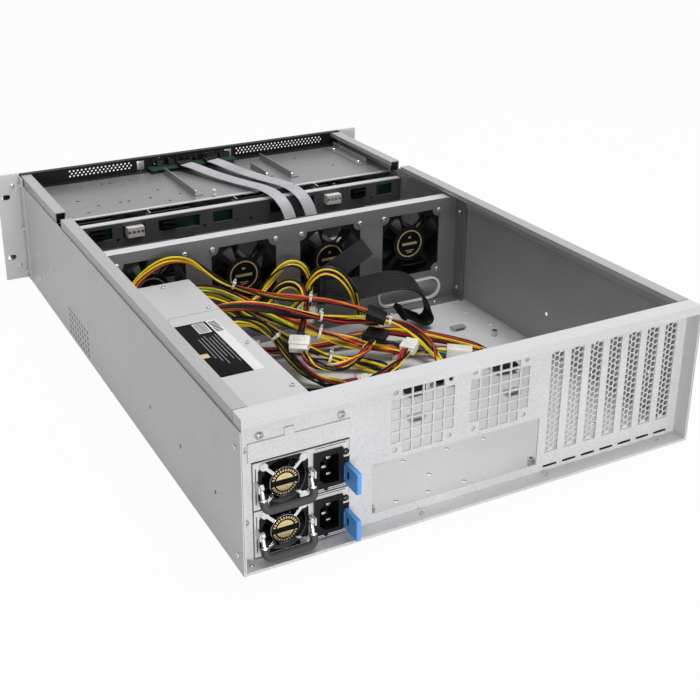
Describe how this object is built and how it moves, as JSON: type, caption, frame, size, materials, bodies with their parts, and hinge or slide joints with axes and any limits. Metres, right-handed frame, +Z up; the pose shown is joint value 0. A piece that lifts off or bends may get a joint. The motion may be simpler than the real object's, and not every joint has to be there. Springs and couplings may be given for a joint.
{
  "type": "rack server",
  "caption": "Open three-unit rack server case with drive bays and trays, a fan wall, redundant plug-in power supplies and loose leads.",
  "frame": {"origin": "on the underside of the floor, at the middle of the case's width and depth", "axes": "+Z up; +Y to the rear panel, the rack ears are at -Y; +X to the side with the power supply"},
  "size_m": [0.4826, 0.7115, 0.132],
  "materials": {
    "case_steel": "satin zinc-plated sheet with a fine grain",
    "inner_steel": "satin sheet, darker",
    "screw_steel": "plated screws, rivets and posts",
    "bright_wire": "bright plated guard",
    "black_metal": "fine matt black paint",
    "black_plastic": "matt black moulding",
    "grey_plastic": "satin grey moulding",
    "blue_plastic": "satin light blue moulding",
    "white_nylon": "natural nylon",
    "board_green": "green lacquered board",
    "wire_yellow": "insulated wire, mostly yellow and black",
    "wire_red": "insulated wire in red, yellow and black",
    "wire_orange": "insulated wire in orange, red, yellow and black",
    "black_cable": "ribbed black flat cable",
    "grey_ribbon": "ribbed grey ribbon"
  },
  "bodies": {
    "chassis": {"chassis_tray": "case_steel", "side_rails": "case_steel", "rack_ears": "case_steel", "ear_handles": "black_metal", "rear_panel": "case_steel", "slot_covers": "case_steel", "fan_wall": "case_steel", "cable_grommet": "white_nylon", "fan_frames": "black_plastic", "drive_cage": "inner_steel", "backplane_bracket": "inner_steel", "backplane_boards": "board_green", "backplane_sockets": "black_plastic", "power_headers": "white_nylon", "front_bezel": "black_metal", "front_panel_board": "board_green", "psu_cage": "case_steel", "psu_distribution_board": "board_green", "fasteners": "screw_steel", "board_leads": "wire_yellow", "drive_leads": "wire_red", "data_leads": "wire_orange", "flat_cables": "black_cable", "ribbon_cables": "grey_ribbon", "nylon_plugs": "white_nylon", "data_plugs": "black_plastic"},
    "fan_rotor_1": {"fan_rotor_1": "black_plastic"},
    "fan_rotor_2": {"fan_rotor_2": "black_plastic"},
    "fan_rotor_3": {"fan_rotor_3": "black_plastic"},
    "fan_rotor_4": {"fan_rotor_4": "black_plastic"},
    "drive_tray_01": {"drive_tray_01": "black_plastic"},
    "drive_tray_02": {"drive_tray_02": "black_plastic"},
    "drive_tray_03": {"drive_tray_03": "black_plastic"},
    "drive_tray_04": {"drive_tray_04": "black_plastic"},
    "drive_tray_05": {"drive_tray_05": "black_plastic"},
    "drive_tray_06": {"drive_tray_06": "black_plastic"},
    "drive_tray_07": {"drive_tray_07": "black_plastic"},
    "drive_tray_08": {"drive_tray_08": "black_plastic"},
    "drive_tray_09": {"drive_tray_09": "black_plastic"},
    "drive_tray_10": {"drive_tray_10": "black_plastic"},
    "drive_tray_11": {"drive_tray_11": "black_plastic"},
    "drive_tray_12": {"drive_tray_12": "black_plastic"},
    "drive_tray_13": {"drive_tray_13": "black_plastic"},
    "drive_tray_14": {"drive_tray_14": "black_plastic"},
    "drive_tray_15": {"drive_tray_15": "black_plastic"},
    "drive_tray_16": {"drive_tray_16": "black_plastic"},
    "power_button": {"power_button": "grey_plastic"},
    "reset_button": {"reset_button": "grey_plastic"},
    "psu_module_1": {"psu_case_1": "case_steel", "psu_inlet_1": "black_plastic", "psu_guard_1": "bright_wire"},
    "psu_rotor_1": {"psu_rotor_1": "black_plastic"},
    "psu_handle_1": {"psu_handle_1": "black_plastic"},
    "psu_latch_1": {"psu_latch_1": "blue_plastic"},
    "psu_module_2": {"psu_case_2": "case_steel", "psu_inlet_2": "black_plastic", "psu_guard_2": "bright_wire"},
    "psu_rotor_2": {"psu_rotor_2": "black_plastic"},
    "psu_handle_2": {"psu_handle_2": "black_plastic"},
    "psu_latch_2": {"psu_latch_2": "blue_plastic"}
  },
  "joints": [
    {"name": "fan_spin_1", "type": "hinge", "parent": "chassis", "child": "fan_rotor_1", "pos_m": [0.1524, -0.06, 0.075], "axis": [0, 1, 0], "continuous": true},
    {"name": "fan_spin_2", "type": "hinge", "parent": "chassis", "child": "fan_rotor_2", "pos_m": [0.0508, -0.06, 0.075], "axis": [0, 1, 0], "continuous": true},
    {"name": "fan_spin_3", "type": "hinge", "parent": "chassis", "child": "fan_rotor_3", "pos_m": [-0.0508, -0.06, 0.075], "axis": [0, 1, 0], "continuous": true},
    {"name": "fan_spin_4", "type": "hinge", "parent": "chassis", "child": "fan_rotor_4", "pos_m": [-0.1524, -0.06, 0.075], "axis": [0, 1, 0], "continuous": true},
    {"name": "tray_slide_01", "type": "slide", "parent": "chassis", "child": "drive_tray_01", "axis": [0, -1, 0], "range_m": [0, 0.14]},
    {"name": "tray_slide_02", "type": "slide", "parent": "chassis", "child": "drive_tray_02", "axis": [0, -1, 0], "range_m": [0, 0.14]},
    {"name": "tray_slide_03", "type": "slide", "parent": "chassis", "child": "drive_tray_03", "axis": [0, -1, 0], "range_m": [0, 0.14]},
    {"name": "tray_slide_04", "type": "slide", "parent": "chassis", "child": "drive_tray_04", "axis": [0, -1, 0], "range_m": [0, 0.14]},
    {"name": "tray_slide_05", "type": "slide", "parent": "chassis", "child": "drive_tray_05", "axis": [0, -1, 0], "range_m": [0, 0.14]},
    {"name": "tray_slide_06", "type": "slide", "parent": "chassis", "child": "drive_tray_06", "axis": [0, -1, 0], "range_m": [0, 0.14]},
    {"name": "tray_slide_07", "type": "slide", "parent": "chassis", "child": "drive_tray_07", "axis": [0, -1, 0], "range_m": [0, 0.14]},
    {"name": "tray_slide_08", "type": "slide", "parent": "chassis", "child": "drive_tray_08", "axis": [0, -1, 0], "range_m": [0, 0.14]},
    {"name": "tray_slide_09", "type": "slide", "parent": "chassis", "child": "drive_tray_09", "axis": [0, -1, 0], "range_m": [0, 0.14]},
    {"name": "tray_slide_10", "type": "slide", "parent": "chassis", "child": "drive_tray_10", "axis": [0, -1, 0], "range_m": [0, 0.14]},
    {"name": "tray_slide_11", "type": "slide", "parent": "chassis", "child": "drive_tray_11", "axis": [0, -1, 0], "range_m": [0, 0.14]},
    {"name": "tray_slide_12", "type": "slide", "parent": "chassis", "child": "drive_tray_12", "axis": [0, -1, 0], "range_m": [0, 0.14]},
    {"name": "tray_slide_13", "type": "slide", "parent": "chassis", "child": "drive_tray_13", "axis": [0, -1, 0], "range_m": [0, 0.14]},
    {"name": "tray_slide_14", "type": "slide", "parent": "chassis", "child": "drive_tray_14", "axis": [0, -1, 0], "range_m": [0, 0.14]},
    {"name": "tray_slide_15", "type": "slide", "parent": "chassis", "child": "drive_tray_15", "axis": [0, -1, 0], "range_m": [0, 0.14]},
    {"name": "tray_slide_16", "type": "slide", "parent": "chassis", "child": "drive_tray_16", "axis": [0, -1, 0], "range_m": [0, 0.14]},
    {"name": "power_press", "type": "slide", "parent": "chassis", "child": "power_button", "axis": [0, 1, 0], "range_m": [0, 0.0012], "stiffness_N_per_m": 600},
    {"name": "reset_press", "type": "slide", "parent": "chassis", "child": "reset_button", "axis": [0, 1, 0], "range_m": [0, 0.0012], "stiffness_N_per_m": 600},
    {"name": "module_slide_1", "type": "slide", "parent": "chassis", "child": "psu_module_1", "axis": [0, 1, 0], "range_m": [0, 0.24]},
    {"name": "psu_fan_spin_1", "type": "hinge", "parent": "psu_module_1", "child": "psu_rotor_1", "pos_m": [0.176, 0.3, 0.0234], "axis": [0, 1, 0], "continuous": true},
    {"name": "bail_swing_1", "type": "hinge", "parent": "psu_module_1", "child": "psu_handle_1", "pos_m": [0.176, 0.322, 0.0254], "axis": [1, 0, 0], "range_deg": [0, 70]},
    {"name": "latch_press_1", "type": "hinge", "parent": "psu_module_1", "child": "psu_latch_1", "pos_m": [0.1235, 0.308, 0.0234], "axis": [0, 0, -1], "range_deg": [0, 6], "stiffness_Nm_per_rad": 0.3},
    {"name": "module_slide_2", "type": "slide", "parent": "chassis", "child": "psu_module_2", "axis": [0, 1, 0], "range_m": [0, 0.24]},
    {"name": "psu_fan_spin_2", "type": "hinge", "parent": "psu_module_2", "child": "psu_rotor_2", "pos_m": [0.176, 0.3, 0.0644], "axis": [0, 1, 0], "continuous": true},
    {"name": "bail_swing_2", "type": "hinge", "parent": "psu_module_2", "child": "psu_handle_2", "pos_m": [0.176, 0.322, 0.0664], "axis": [1, 0, 0], "range_deg": [0, 70]},
    {"name": "latch_press_2", "type": "hinge", "parent": "psu_module_2", "child": "psu_latch_2", "pos_m": [0.1235, 0.308, 0.0644], "axis": [0, 0, -1], "range_deg": [0, 6], "stiffness_Nm_per_rad": 0.3}
  ]
}
